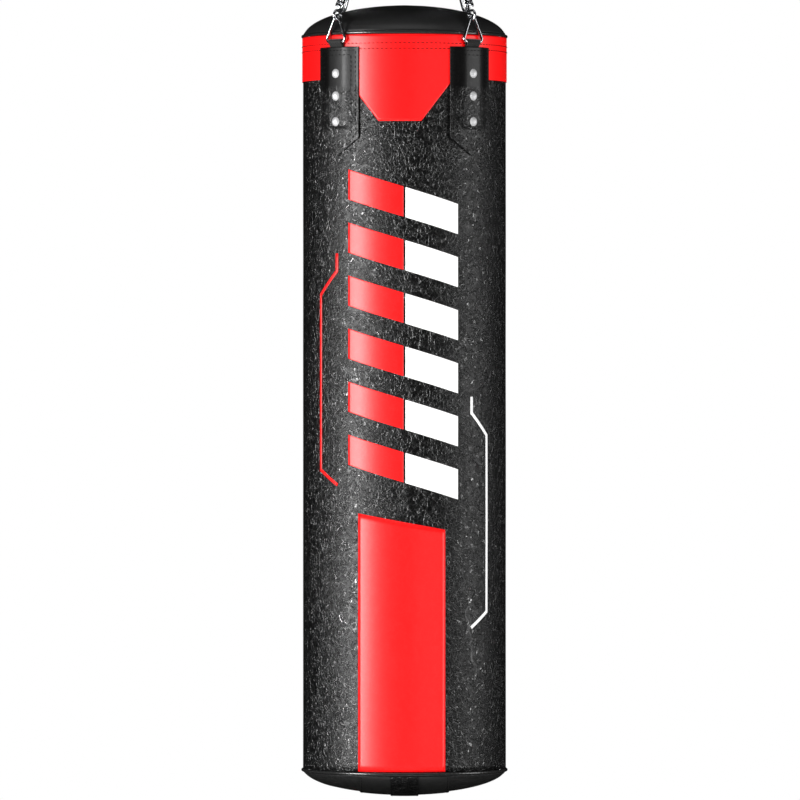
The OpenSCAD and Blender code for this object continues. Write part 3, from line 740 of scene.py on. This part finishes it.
def patch_surface(middle, across, z):
    """The patch's outer surface: on the shell and band at its edges, and raised to the height
    of the webbing under it near its middle."""
    angle = middle + across / SHELL_R
    flat = shell_radius(angle, z) + BAND_GAP * 2 + BAND_T + PATCH_T
    beside = 1 - smooth_step((np.abs(across) - BULGE_HALF) / BULGE_FADE)
    below = smooth_step((z - bulge_low) / (10 * MM))
    return angle, flat + (patch_outer - flat) * beside * below


def patch_foot(across, inset=0.0):
    """The height of the patch's pointed lower edge, moved in by an inset."""
    half = PATCH_W / 2 - inset
    slope = (PATCH_TIP - PATCH_SIDE) / (PATCH_W / 2)
    rise = inset * np.sqrt(1 + slope**2)
    return RIM_Z - PATCH_TIP + rise + slope * np.minimum(np.abs(across), half)


def patch_outline(middle, inset):
    """One closed run of points inside the patch's edge, and the directions out of it."""
    half = PATCH_W / 2 - inset
    top = RIM_Z - PATCH_TOP - inset
    corner = patch_foot(np.array(half), inset)
    tip = patch_foot(np.array(0.0), inset)
    corners = np.array([[-half, top], [half, top], [half, corner], [0, tip], [-half, corner]])
    runs = []
    for a, b in zip(corners, np.roll(corners, -1, axis=0)):
        share = np.linspace(0, 1, 40)[:, None]
        flat = a + share * (b - a)
        angle, r = patch_surface(middle, flat[:, 0], flat[:, 1])
        line = wrap(angle, r, flat[:, 1])
        runs.append((line, upright_out(line)))
    return runs


across = np.linspace(-PATCH_W / 2, PATCH_W / 2, 57)
patch_share = np.linspace(1, 0, 90)[:, None]
patch_runs = []
for leg in LEGS:
    foot = patch_foot(across)[None, :]
    top = RIM_Z - PATCH_TOP
    z = top + patch_share * (foot - top)
    angle, r = patch_surface(strap_angles[leg], across[None, :] + 0 * z, z)
    patch = grid_mesh(f"leather_patch_{leg}", wrap(angle, r, z), False, patch_black)
    leather_wall(patch, PATCH_T)
    roll_edge(patch, 0.5 * MM)
    dress(patch, "smooth_black_leather", f"patch_{leg}")
    for inset in STITCH_INSETS:
        patch_runs += patch_outline(strap_angles[leg], inset)
sew("patch_stitches", patch_runs)


# ---------------------------------------------------------------------------------------------
# Hanging loops. Black nylon webbing, 25 mm wide and 1.5 mm thick, folded over each triangle
# ring's bar and led down under its patch. Its weave shows as slanting ribs along the strip.

WEB_W = 25 * MM
WEB_T = 1.5 * MM
RIB = 1.7 * MM
BAR_R = 162.8 * MM        # the triangle ring's bar: its place out from the axis
BAR_DROP = 11 * MM        # and below the rim
BAR_WIRE = 2.4 * MM
TAIL = 30 * MM            # how far the webbing's ends hang below the bar

webbing_black, tree, surface = new_material(
    "black_nylon_webbing", Roughness=0.7, Sheen_Weight=0.25, Sheen_Roughness=0.4
)
weave_place = node(tree, "ShaderNodeUVMap", uv_map="strip").outputs["UV"]
ribs = node(
    tree,
    "ShaderNodeTexWave",
    {"Vector": weave_place},
    bands_direction="DIAGONAL",
    inputs={"Scale": 1 / (RIB * 3.2), "Distortion": 0.3, "Detail": 1.0},
)
yarns = node(
    tree,
    "ShaderNodeTexWave",
    {"Vector": weave_place},
    bands_direction="X",
    inputs={"Scale": 1 / (RIB * 2.0), "Distortion": 0.2},
)
woven = node(
    tree,
    "ShaderNodeMath",
    {0: ribs.outputs["Fac"], 1: yarns.outputs["Fac"]},
    operation="MULTIPLY",
)
tone = node(
    tree,
    "ShaderNodeMix",
    {"Factor": woven.outputs[0]},
    data_type="RGBA",
    inputs={"A": linear("#060606"), "B": linear("#2a2a2a")},
)
weave_bump = node(
    tree,
    "ShaderNodeBump",
    {"Height": woven.outputs[0]},
    inputs={"Strength": 1.0, "Distance": 0.25 * MM},
)
tree.links.new(tone.outputs["Result"], surface.inputs["Base Color"])
tree.links.new(weave_bump.outputs[0], surface.inputs["Normal"])


def strip_uv(piece, u, v):
    """Gives a strip a UV map in metres, across and along it, from two grids."""
    flat = np.stack([u, v], axis=-1).reshape(-1, 2)
    uv = piece.data.uv_layers.new(name="strip")
    corner = np.empty(len(piece.data.loops), int)
    piece.data.loops.foreach_get("vertex_index", corner)
    uv.data.foreach_set("uv", flat[corner].astype(np.float32).ravel())


def strip_along(name, path, side, width, thickness, material, columns=9):
    """A flat strip whose middle runs along a path. Side points across it. The strip's own UV
    map, in metres, runs across and along it."""
    share = np.linspace(-0.5, 0.5, columns)
    points = path[:, None] + share[None, :, None] * width * side
    piece = grid_mesh(name, points, False, material)
    steps = np.concatenate([[0], np.cumsum(np.linalg.norm(np.diff(path, axis=0), axis=1))])
    u = np.broadcast_to(share[None, :] * width, points.shape[:2])
    v = np.broadcast_to(steps[:, None], points.shape[:2])
    strip_uv(piece, u, v)
    wall = piece.modifiers.new("thickness", "SOLIDIFY")
    wall.thickness = thickness
    wall.offset = 0
    roll = piece.modifiers.new("soft_edge", "BEVEL")
    roll.width = thickness * 0.35
    roll.segments = 2
    roll.limit_method = "ANGLE"
    return piece


for leg in LEGS:
    middle = strap_angles[leg]
    out = np.array([np.sin(middle), -np.cos(middle)])
    across_dir = np.array([np.cos(middle), np.sin(middle), 0])
    bar_z = RIM_Z - BAR_DROP
    bend = BAR_WIRE + 0.15 * MM + WEB_T / 2
    turn = np.radians(np.arange(180, -46, -9))
    over = np.stack([BAR_R + bend * np.cos(turn), bar_z + bend * np.sin(turn)], axis=-1)
    inner_x = BAR_R - bend
    down = np.stack([np.full(12, inner_x), np.linspace(bar_z - TAIL, bar_z - 1 * MM, 12)], -1)
    outer_x = inner_x + WEB_T + 0.05 * MM
    knee = np.array([[outer_x + 0.6 * MM, RIM_Z - 18.0 * MM], [outer_x, RIM_Z - 20 * MM]])
    back = np.stack([np.full(10, outer_x), np.linspace(bar_z - 12 * MM, bar_z - TAIL, 10)], -1)
    line = np.concatenate([down, over, knee, back])
    path = np.stack([line[:, 0] * out[0], line[:, 0] * out[1], line[:, 1]], axis=-1)
    loop = strip_along(f"webbing_loop_{leg}", path, across_dir, WEB_W, WEB_T, webbing_black)
    dress(loop, "black_webbing", f"webbing_{leg}")


# ---------------------------------------------------------------------------------------------
# Back seam strip. The shell closes at the back under a sewn strip of smooth leather.

STRIP_W = 30 * MM
STRIP_T = 1.5 * MM
strip_top = RIM_Z - BAND_H - 0.3 * MM
strip_foot = BASE_Z + 0.5 * MM
share = np.linspace(-0.5, 0.5, 13)
z = np.linspace(strip_foot, strip_top, 140)[:, None] + 0 * share[None, :]
angle = pi + share[None, :] * STRIP_W / SHELL_R + 0 * z
seam_strip = layered(
    "back_seam_cover", (angle + pi) % (2 * pi) - pi, z, STRIP_T, BAND_GAP, smooth_black
)
dress(seam_strip, "smooth_black_leather", "back_seam_strip")
seam_runs = []
for shift in (-0.34, 0.34):
    z = np.linspace(strip_foot + 4 * MM, strip_top - 4 * MM, 300)
    angle = np.full_like(z, pi + shift * STRIP_W / SHELL_R - (2 * pi if shift > 0 else 0))
    line = wrap(angle, shell_radius(angle, z) + BAND_GAP + STRIP_T, z)
    seam_runs.append((line, upright_out(line)))
sew("seam_stitches", seam_runs)


# ---------------------------------------------------------------------------------------------
# Under the cap. A smooth panel runs from front to back and a narrower grained strap lies on it,
# sewn down along both edges.

PANEL_W, PANEL_T = 136 * MM, 1.0 * MM
STRAP_W, STRAP_T = 42 * MM, 1.5 * MM
CAP_LIFT = 0.35 * MM
STRAP_LOW = CAP_LIFT + PANEL_T + 0.1 * MM


def on_cap(x, share, lift):
    """Points over the cap at a distance lift from it. X runs across and share, from -1 to 1,
    from the front seam to the back seam."""
    reach = (SHELL_R - 0.4 * MM) * np.cos(np.arcsin((SEAM_H + 0.6 * MM) / CAP_H))
    y = np.sin(share * pi / 2) * np.sqrt(reach**2 - x**2)
    flat = np.sqrt(x**2 + y**2) / SHELL_R
    grow = 1 + lift / SHELL_R
    drop = (CAP_H + lift) * np.sqrt(1 - flat**2)
    return np.stack([x * grow, y * grow, BASE_Z - drop], axis=-1)


for name, slot, cad_node, width, thickness, low, material in (
    ("cap_panel", "smooth_black_leather", "bottom_panel", PANEL_W, PANEL_T, CAP_LIFT,
     smooth_black),
    ("cap_strap", "grained_black_leather", "bottom_strap", STRAP_W, STRAP_T,
     STRAP_LOW, grained_black),
):
    x = np.linspace(-width / 2, width / 2, 41)[None, :]
    share = np.linspace(-1, 1, 121)[:, None]
    piece = grid_mesh(
        name, on_cap(x + 0 * share, share + 0 * x, low + thickness)[::-1], False, material
    )
    leather_wall(piece, thickness)
    roll_edge(piece, 0.35 * MM)
    dress(piece, slot, cad_node)
cap_runs = []
share = np.linspace(-0.97, 0.97, 400)
strap_face = STRAP_LOW + STRAP_T
for x, lift in ((-STRAP_W / 2 + 2.2 * MM, strap_face), (STRAP_W / 2 - 2.2 * MM, strap_face),
                (-PANEL_W / 2 + 3 * MM, CAP_LIFT + PANEL_T),
                (PANEL_W / 2 - 3 * MM, CAP_LIFT + PANEL_T)):
    line = on_cap(np.full_like(share, x), share, lift)
    above = on_cap(np.full_like(share, x), share, lift + 1 * MM)
    cap_runs.append((line, (above - line) / np.linalg.norm(above - line, axis=1)[:, None]))
sew("cap_stitches", cap_runs)


# ---------------------------------------------------------------------------------------------
# Zip. The lid opens along a nylon coil zip round its back, for filling the bag. The coil's two
# rows are sewn to a woven tape, which two rows of stitches hold to the lid.

ZIP_RISE = 27 * MM
ZIP_FROM, ZIP_TO = radians(32 + 90), radians(148 + 90)
TAPE_HALF = radians(9)
TAPE_T = 0.9 * MM
TAPE_LIFT = 0.35 * MM
COIL_PITCH = 1.6 * MM
COIL_R = 0.32 * MM
COIL_STEPS = 10           # places along each turn of the coil
COIL_MID = 1.45           # mm from the seam to the middle of a row
COIL_REACH = 1.15         # mm from there to the heads and to the sewn side
COIL_LIFT = 1.25 + 0.85   # mm over the leather
COIL_RISE = 0.5           # mm up and down in each turn
PROFILE_TURN = 1.25       # angle up the flat profile for an arc of one shell radius
zip_at = np.arcsin(ZIP_RISE / LID_H)


def on_lid(angle, at, lift):
    """Points at a distance lift over the lid, at an angle round it and up its profile."""
    return wrap(angle, (SHELL_R + lift) * np.cos(at), RIM_Z + (LID_H + lift) * np.sin(at))


angle = np.linspace(ZIP_FROM - radians(2), ZIP_TO + radians(2), 160)[None, :]
at = np.linspace(zip_at - TAPE_HALF, zip_at + TAPE_HALF, 21)[:, None]
tape = grid_mesh("zip_tape_woven", on_lid(angle, at, TAPE_LIFT + TAPE_T), False, webbing_black)
flat_u = SHELL_R * (at - zip_at) + 0 * angle
flat_v = SHELL_R * np.cos(zip_at) * angle + 0 * at
strip_uv(tape, flat_u, flat_v)
leather_wall(tape, TAPE_T)
dress(tape, "black_webbing", "zip_tape")

zip_runs = []
row = np.linspace(ZIP_FROM - radians(1.4), ZIP_TO + radians(1.4), 500)
for aside in (-0.8, 0.8):
    row_at = np.full_like(row, zip_at + aside * TAPE_HALF)
    line = on_lid(row, row_at, TAPE_LIFT + TAPE_T)
    zip_runs.append((line, on_lid(row, row_at, 2 * MM + TAPE_T) - line))
sew("zip_stitches", zip_runs)

coil_black, tree, surface = new_material("moulded_nylon_coil", Roughness=0.32)
place = node(tree, "ShaderNodeTexCoord").outputs["Object"]
mottle = node(
    tree, "ShaderNodeTexNoise", {"Vector": place}, inputs={"Scale": 1 / (1.2 * MM), "Detail": 2.0}
)
tone = node(
    tree,
    "ShaderNodeMix",
    {"Factor": mottle.outputs["Fac"]},
    data_type="RGBA",
    inputs={"A": linear("#0c0c0c"), "B": linear("#222222")},
)
tree.links.new(tone.outputs["Result"], surface.inputs["Base Color"])

turns = int(SHELL_R * np.cos(zip_at) * (ZIP_TO - ZIP_FROM) / COIL_PITCH)
for side, name in ((-1, "zip_coil_low"), (1, "zip_coil_high")):
    step = np.arange(turns * COIL_STEPS + 1) / COIL_STEPS
    swing = 2 * pi * step
    centre_angle = ZIP_FROM + (ZIP_TO - ZIP_FROM) * step / turns
    across = side * (COIL_MID - COIL_REACH * np.cos(swing)) * MM
    centre_at = zip_at + across / SHELL_R * PROFILE_TURN
    centre_lift = (COIL_LIFT + COIL_RISE * np.sin(swing)) * MM
    centre = on_lid(centre_angle, centre_at, centre_lift)
    up = on_lid(centre_angle, centre_at, centre_lift + 1 * MM) - centre
    up /= np.linalg.norm(up, axis=1)[:, None]
    ahead = np.gradient(centre, axis=0)
    ahead /= np.linalg.norm(ahead, axis=1)[:, None]
    aside = np.cross(ahead, up)
    aside /= np.linalg.norm(aside, axis=1)[:, None]
    up = np.cross(aside, ahead)
    turn = np.linspace(0, 2 * pi, 7)[:-1]
    tube = centre[:, None] + COIL_R * (
        np.cos(turn)[None, :, None] * aside[:, None] + np.sin(turn)[None, :, None] * up[:, None]
    )
    first, last = centre[:1, None] + 0 * tube[:1], centre[-1:, None] + 0 * tube[-1:]
    tube = np.concatenate([first, tube, last])
    coil = grid_mesh(name, tube[::-1], True, coil_black)
    dress(coil, "zip_coil", "zip_teeth")


# ---------------------------------------------------------------------------------------------
# Printed panels on the shell. Screen print in red and white, a thin glossy skin of ink. There
# is a red foot panel, two thin bracket lines, and a plain ladder of slanting stripes, red on
# the left half and white on the right.

INK_T = 0.18 * MM
INK_LIFT = 0.1 * MM


def ink(name, colour, ink_ridge_sheen):
    """Screen-printing ink on leather: nearly flat, with the leather's fine pores through it."""
    return leather(name, colour, ink_ridge_sheen, 0.03, 0.38, 0.6)


# Each ink's second colour lies on the leather's ridges and is lighter: painted highlight.
red_ink = ink("red_screen_print", "#f60204", "#fa0e10")
white_ink = ink("white_screen_print", "#f4f4f4", "#ffffff")


def printed(name, outline, material):
    """A flat print. Outline is a function of two shares, across and down, that gives the
    distance round the front in mm and the height below the rim in mm."""
    s = np.linspace(0, 1, 25)[None, :]
    t = np.linspace(1, 0, 41)[:, None]
    x, drop = outline(s + 0 * t, t + 0 * s)
    angle = x * MM / SHELL_R
    z = RIM_Z - drop * MM
    r = shell_radius(angle, z) + INK_LIFT + INK_T
    piece = grid_mesh(name, wrap(angle, r, z), False, material)
    leather_wall(piece, INK_T)
    dress(piece, "smooth_red_leather" if material is red_ink else "smooth_black_leather")


def slanted(left, right, top, height, slope):
    """A four-sided outline with upright sides, whose top and bottom slope down to the right."""
    def outline(s, t):
        x = left + (right - left) * s
        return x, top + slope * (x - left) + height * t
    return outline


def foot_panel(s, t):
    """From a slanting top edge down to the bottom seam."""
    x = -73.5 + (64.0 + 73.5) * s
    top = 731 + (756 - 731) * s
    return x, top + (1125 - top) * t


printed("foot_panel", foot_panel, red_ink)

LADDER_LEFT, LADDER_RIGHT = -91.0, 86.0
RUNGS = 6
RUNG_PITCH = 81.0
RUNG_H = 46.0
for i in range(RUNGS):
    top = 206 + i * RUNG_PITCH
    printed(f"ladder_red_{i}", slanted(LADDER_LEFT, -1.5, top, RUNG_H, 0.3), red_ink)
    printed(
        f"ladder_white_{i}",
        slanted(1.5, LADDER_RIGHT, top + 0.3 * (1.5 - LADDER_LEFT), RUNG_H, 0.3),
        white_ink,
    )


def bracket(name, corners, material, width=5.0):
    """A thin line of even width through its corners, each (distance round, height below)."""
    corners = np.array(corners, float)
    steps = np.linalg.norm(np.diff(corners, axis=0), axis=1)
    along = np.concatenate([[0], np.cumsum(steps)])
    places = np.unique(np.concatenate([np.linspace(0, along[-1], 60), along]))
    middle = np.stack([np.interp(places, along, corners[:, k]) for k in (0, 1)], axis=-1)
    ahead = np.diff(corners, axis=0) / steps[:, None]
    normals = np.stack([-ahead[:, 1], ahead[:, 0]], axis=-1)
    segment = np.clip(np.searchsorted(along, places, side="right") - 1, 0, len(steps) - 1)
    side = normals[segment]
    for k in range(1, len(corners) - 1):
        mitre = normals[k - 1] + normals[k]
        at = np.isclose(places, along[k])
        side[at] = mitre / (1 + (normals[k - 1] * normals[k]).sum())
    share = np.linspace(-0.5, 0.5, 3)
    flat = middle[:, None] + share[None, :, None] * width * side[:, None]
    angle = flat[..., 0] * MM / SHELL_R
    z = RIM_Z - flat[..., 1] * MM
    r = shell_radius(angle, z) + INK_LIFT + INK_T
    piece = grid_mesh(name, wrap(angle, r, z), False, material)
    leather_wall(piece, INK_T)
    dress(piece, "smooth_red_leather" if material is red_ink else "smooth_black_leather")


bracket("left_bracket", [(-113, 334), (-113, 361), (-150, 397), (-150, 665), (-112, 688)], red_ink)
bracket("right_bracket", [(112, 553), (112, 578), (146, 612), (146, 882), (111, 906)], white_ink)


# ---------------------------------------------------------------------------------------------
# Metal. Bent and welded wire with bright chrome plate, forged steel fittings with dull zinc
# plate, a bronze washer pressed from powder, and domed rivets with satin nickel plate.

chrome_wire, tree, surface = new_material(
    "bright_chrome_plate", Metallic=1.0, Roughness=0.13
)
place = node(tree, "ShaderNodeTexCoord").outputs["Object"]
scuff = node(
    tree, "ShaderNodeTexNoise", {"Vector": place}, inputs={"Scale": 1 / (3 * MM), "Detail": 4.0}
)
tone = node(
    tree,
    "ShaderNodeMix",
    {"Factor": scuff.outputs["Fac"]},
    data_type="RGBA",
    inputs={"A": linear("#c9cbcf"), "B": linear("#e6e7ea")},
)
rough = node(
    tree,
    "ShaderNodeMapRange",
    {"Value": scuff.outputs["Fac"]},
    inputs={"To Min": 0.08, "To Max": 0.24},
)
tree.links.new(tone.outputs["Result"], surface.inputs["Base Color"])
tree.links.new(rough.outputs[0], surface.inputs["Roughness"])

zinc_steel, tree, surface = new_material("zinc_plated_steel", Metallic=1.0, Roughness=0.34)
place = node(tree, "ShaderNodeTexCoord").outputs["Object"]
spangle = node(
    tree, "ShaderNodeTexNoise", {"Vector": place}, inputs={"Scale": 1 / (4 * MM), "Detail": 5.0}
)
tone = node(
    tree,
    "ShaderNodeMix",
    {"Factor": spangle.outputs["Fac"]},
    data_type="RGBA",
    inputs={"A": linear("#8f9296"), "B": linear("#b9bcc0")},
)
forged = node(
    tree,
    "ShaderNodeBump",
    {"Height": spangle.outputs["Fac"]},
    inputs={"Strength": 1.0, "Distance": 0.12 * MM},
)
tree.links.new(tone.outputs["Result"], surface.inputs["Base Color"])
tree.links.new(forged.outputs[0], surface.inputs["Normal"])

sintered_bronze, tree, surface = new_material("sintered_bronze", Metallic=1.0, Roughness=0.4)
surface.inputs["Base Color"].default_value = linear("#b08a4c")

satin_nickel, tree, surface = new_material("satin_nickel_plate", Metallic=0.6)
place = node(tree, "ShaderNodeTexCoord").outputs["Object"]
spin = node(
    tree, "ShaderNodeTexNoise", {"Vector": place}, inputs={"Scale": 1 / (1.5 * MM), "Detail": 3.0}
).outputs["Fac"]
tone = node(
    tree,
    "ShaderNodeMix",
    {"Factor": spin},
    data_type="RGBA",
    inputs={"A": linear("#d2d2d4"), "B": linear("#f0f0f0")},
)
rough = node(
    tree,
    "ShaderNodeMapRange",
    {"Value": spin},
    inputs={"To Min": 0.45, "To Max": 0.6},
)
tree.links.new(tone.outputs["Result"], surface.inputs["Base Color"])
tree.links.new(rough.outputs[0], surface.inputs["Roughness"])


def finish(material, *nodes):
    """Gives CAD nodes a finish, through their own material slots."""
    for name in nodes:
        slots = bpy.data.objects[name].data.materials
        if not len(slots):
            slots.append(material)
        for k in range(len(slots)):
            slots[k] = material


finish(chrome_wire, "snap_hook", "snap_gate", "gate_nose", "gather_ring")
finish(satin_nickel, *(f"rivets_{leg}" for leg in LEGS))
for kind in ("chain", "s_hook", "triangle"):
    finish(chrome_wire, *(f"{kind}_{leg}" for leg in LEGS))
finish(zinc_steel, "swivel_eye", "swivel_nut", "swivel_yoke", "gate_pin", "gate_spring")
finish(zinc_steel, "rivet_washers", "zip_stops", "zip_slider", "zip_pull")
finish(sintered_bronze, "swivel_washer")


# ---------------------------------------------------------------------------------------------
# Inside. A liner and two pads of open foam, a sewn cotton sack, and shredded textile packed in
# it by hand through the zip. None of it shows while the bag is closed.

grey_foam, tree, surface = new_material("open_cell_grey_foam", Roughness=0.95)
place = node(tree, "ShaderNodeTexCoord").outputs["Object"]
foam_cells = node(
    tree, "ShaderNodeTexVoronoi", {"Vector": place}, inputs={"Scale": 1 / (1.5 * MM)}
).outputs["Distance"]
tone = node(
    tree,
    "ShaderNodeMix",
    {"Factor": foam_cells},
    data_type="RGBA",
    inputs={"A": linear("#3a3a3d"), "B": linear("#66666a")},
)
holes = node(
    tree,
    "ShaderNodeBump",
    {"Height": foam_cells},
    inputs={"Strength": 1.0, "Distance": 0.5 * MM},
)
tree.links.new(tone.outputs["Result"], surface.inputs["Base Color"])
tree.links.new(holes.outputs[0], surface.inputs["Normal"])

woven_cotton, tree, surface = new_material("plain_woven_cotton", Roughness=0.9)
place = node(tree, "ShaderNodeTexCoord").outputs["Object"]
warp_yarns = node(
    tree, "ShaderNodeTexWave", {"Vector": place}, inputs={"Scale": 1 / (6 * MM), "Distortion": 1.0}
).outputs["Fac"]
weft_yarns = node(
    tree,
    "ShaderNodeTexWave",
    {"Vector": place},
    bands_direction="Z",
    inputs={"Scale": 1 / (6 * MM), "Distortion": 1.0},
).outputs["Fac"]
cloth = node(
    tree, "ShaderNodeMath", {0: warp_yarns, 1: weft_yarns}, operation="MULTIPLY"
).outputs[0]
tone = node(
    tree,
    "ShaderNodeMix",
    {"Factor": cloth},
    data_type="RGBA",
    inputs={"A": linear("#a89f8a"), "B": linear("#d8d0bd")},
)
cloth_bump = node(
    tree, "ShaderNodeBump", {"Height": cloth}, inputs={"Strength": 1.0, "Distance": 0.3 * MM}
)
tree.links.new(tone.outputs["Result"], surface.inputs["Base Color"])
tree.links.new(cloth_bump.outputs[0], surface.inputs["Normal"])

shredded_textile, tree, surface = new_material("shredded_textile", Roughness=1.0)
place = node(tree, "ShaderNodeTexCoord").outputs["Object"]
scraps = node(
    tree, "ShaderNodeTexVoronoi", {"Vector": place}, inputs={"Scale": 1 / (22 * MM)}
).outputs["Color"]
tone = node(
    tree,
    "ShaderNodeMix",
    {"B": scraps},
    data_type="RGBA",
    inputs={"Factor": 0.35, "A": linear("#8a8072")},
)
tree.links.new(tone.outputs["Result"], surface.inputs["Base Color"])


finish(grey_foam, "foam_liner", "top_pad", "bottom_pad")
finish(woven_cotton, "inner_sack")
finish(shredded_textile, "filling")
